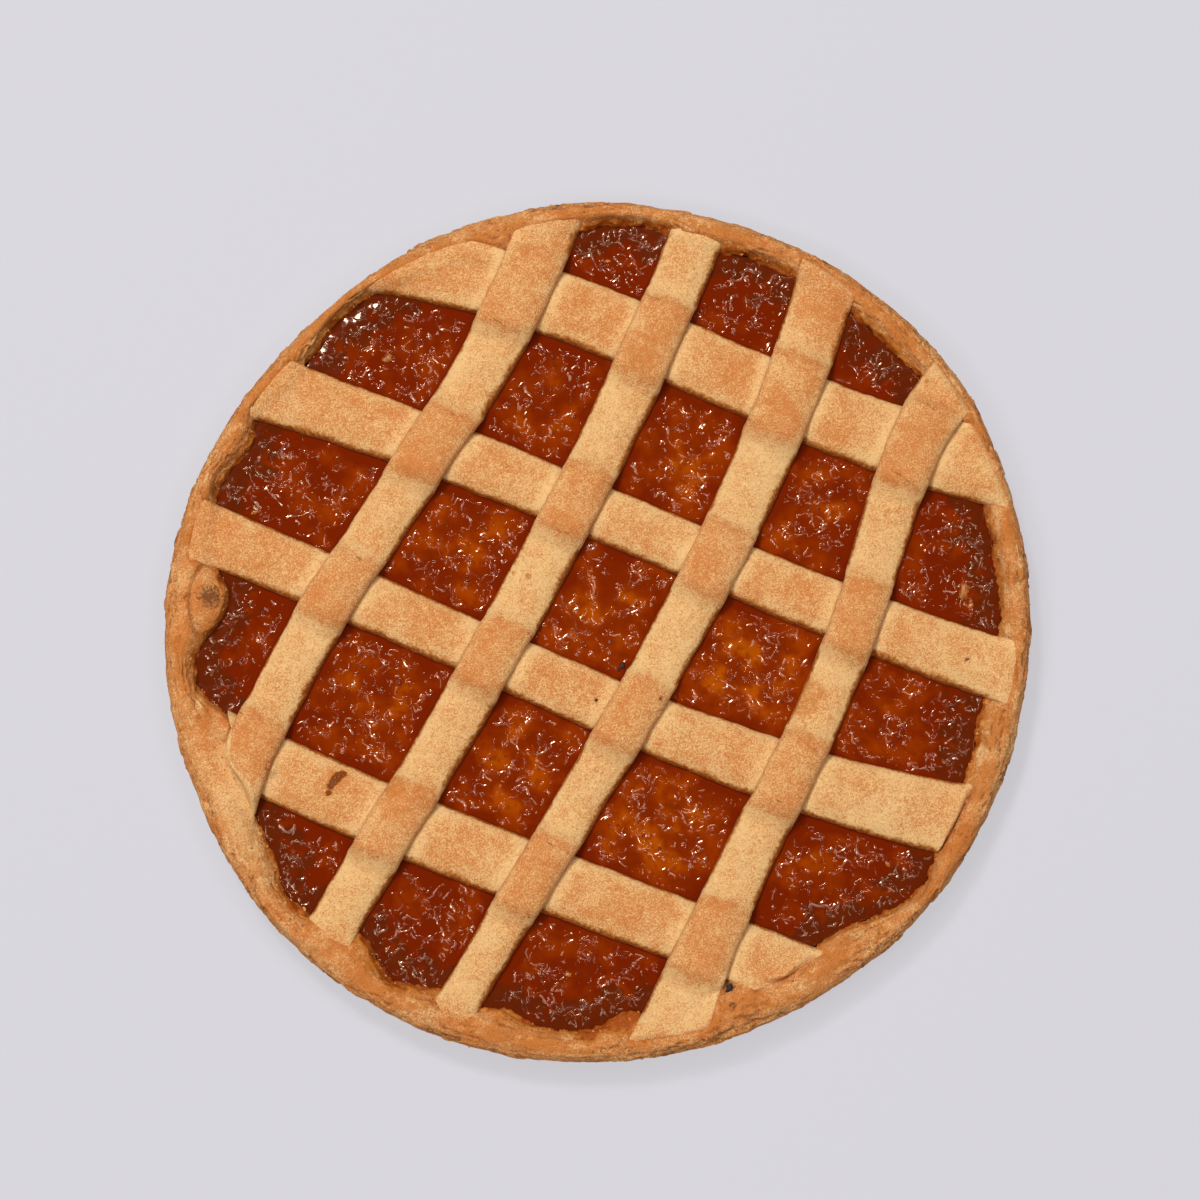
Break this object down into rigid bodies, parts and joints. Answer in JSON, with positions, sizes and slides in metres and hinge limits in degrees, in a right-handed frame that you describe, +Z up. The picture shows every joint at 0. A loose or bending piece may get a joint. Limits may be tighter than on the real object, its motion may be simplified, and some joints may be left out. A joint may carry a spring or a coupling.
{
  "type": "apricot crostata",
  "caption": "Round flat Italian jam tart: a low shortcrust shell with a pressed rim, filled with glossy apricot jam and covered by a wide pastry lattice.",
  "frame": {"origin": "centre of the tart's bounding box at the level of the surface it stands on", "axes": "+Z up out of the jam, +X and +Y across the tart, with the upper strips running at 62 degrees from +X and the lower ones at -22 degrees"},
  "size_m": [0.2606, 0.2594, 0.0198],
  "materials": {
    "crust_pastry": "golden-brown baked shortcrust, dry and finely grained, flaky in layers round the edge",
    "lattice_pastry": "pale golden baked shortcrust, fine sandy grain, browner where one strip lies over another",
    "apricot_jam": "glossy cooked apricot jam, deep amber-orange, wrinkled and bubbled, darker towards its edges"
  },
  "bodies": {
    "root": {"crust": "crust_pastry", "apricot_jam": "apricot_jam", "cross_strip_1": "lattice_pastry", "cross_strip_2": "lattice_pastry", "cross_strip_3": "lattice_pastry", "cross_strip_4": "lattice_pastry", "top_strip_1": "lattice_pastry", "top_strip_2": "lattice_pastry", "top_strip_3": "lattice_pastry", "top_strip_4": "lattice_pastry"}
  },
  "joints": []
}
